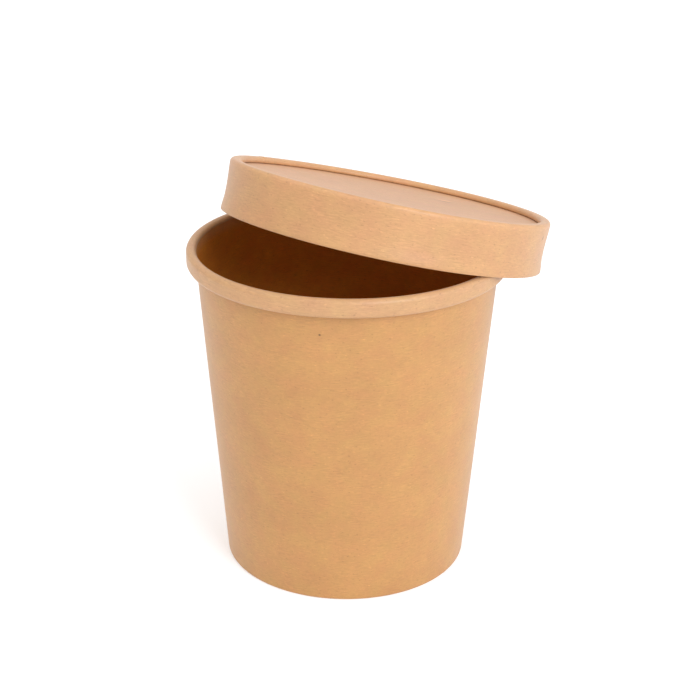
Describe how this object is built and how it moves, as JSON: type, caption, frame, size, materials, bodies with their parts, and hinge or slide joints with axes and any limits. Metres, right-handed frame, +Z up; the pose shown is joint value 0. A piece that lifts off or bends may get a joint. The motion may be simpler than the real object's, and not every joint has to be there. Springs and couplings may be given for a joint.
{
  "type": "paper food cup with lid",
  "caption": "Open, empty kraft paper food cup with a rolled rim and a recessed bottom, its recessed paper lid resting askew on the rim.",
  "frame": {"origin": "middle of the bounding box, on the floor that the cup's foot stands on", "axes": "+Z up along the cup's axis, +X to the right and +Y away from the picture's viewpoint; the lid has slid towards +X and +Y"},
  "size_m": [0.1118, 0.1124, 0.1297],
  "materials": {
    "cup_board": "uncoated brown kraft board, clear film inside",
    "bottom_board": "brown kraft board with a clear film",
    "lid_board": "uncoated brown kraft board",
    "disc_board": "uncoated brown kraft board, slightly paler"
  },
  "bodies": {
    "root": {"cup_wall": "cup_board", "cup_bottom": "bottom_board", "lid_ring": "lid_board", "lid_disc": "disc_board"}
  },
  "joints": []
}
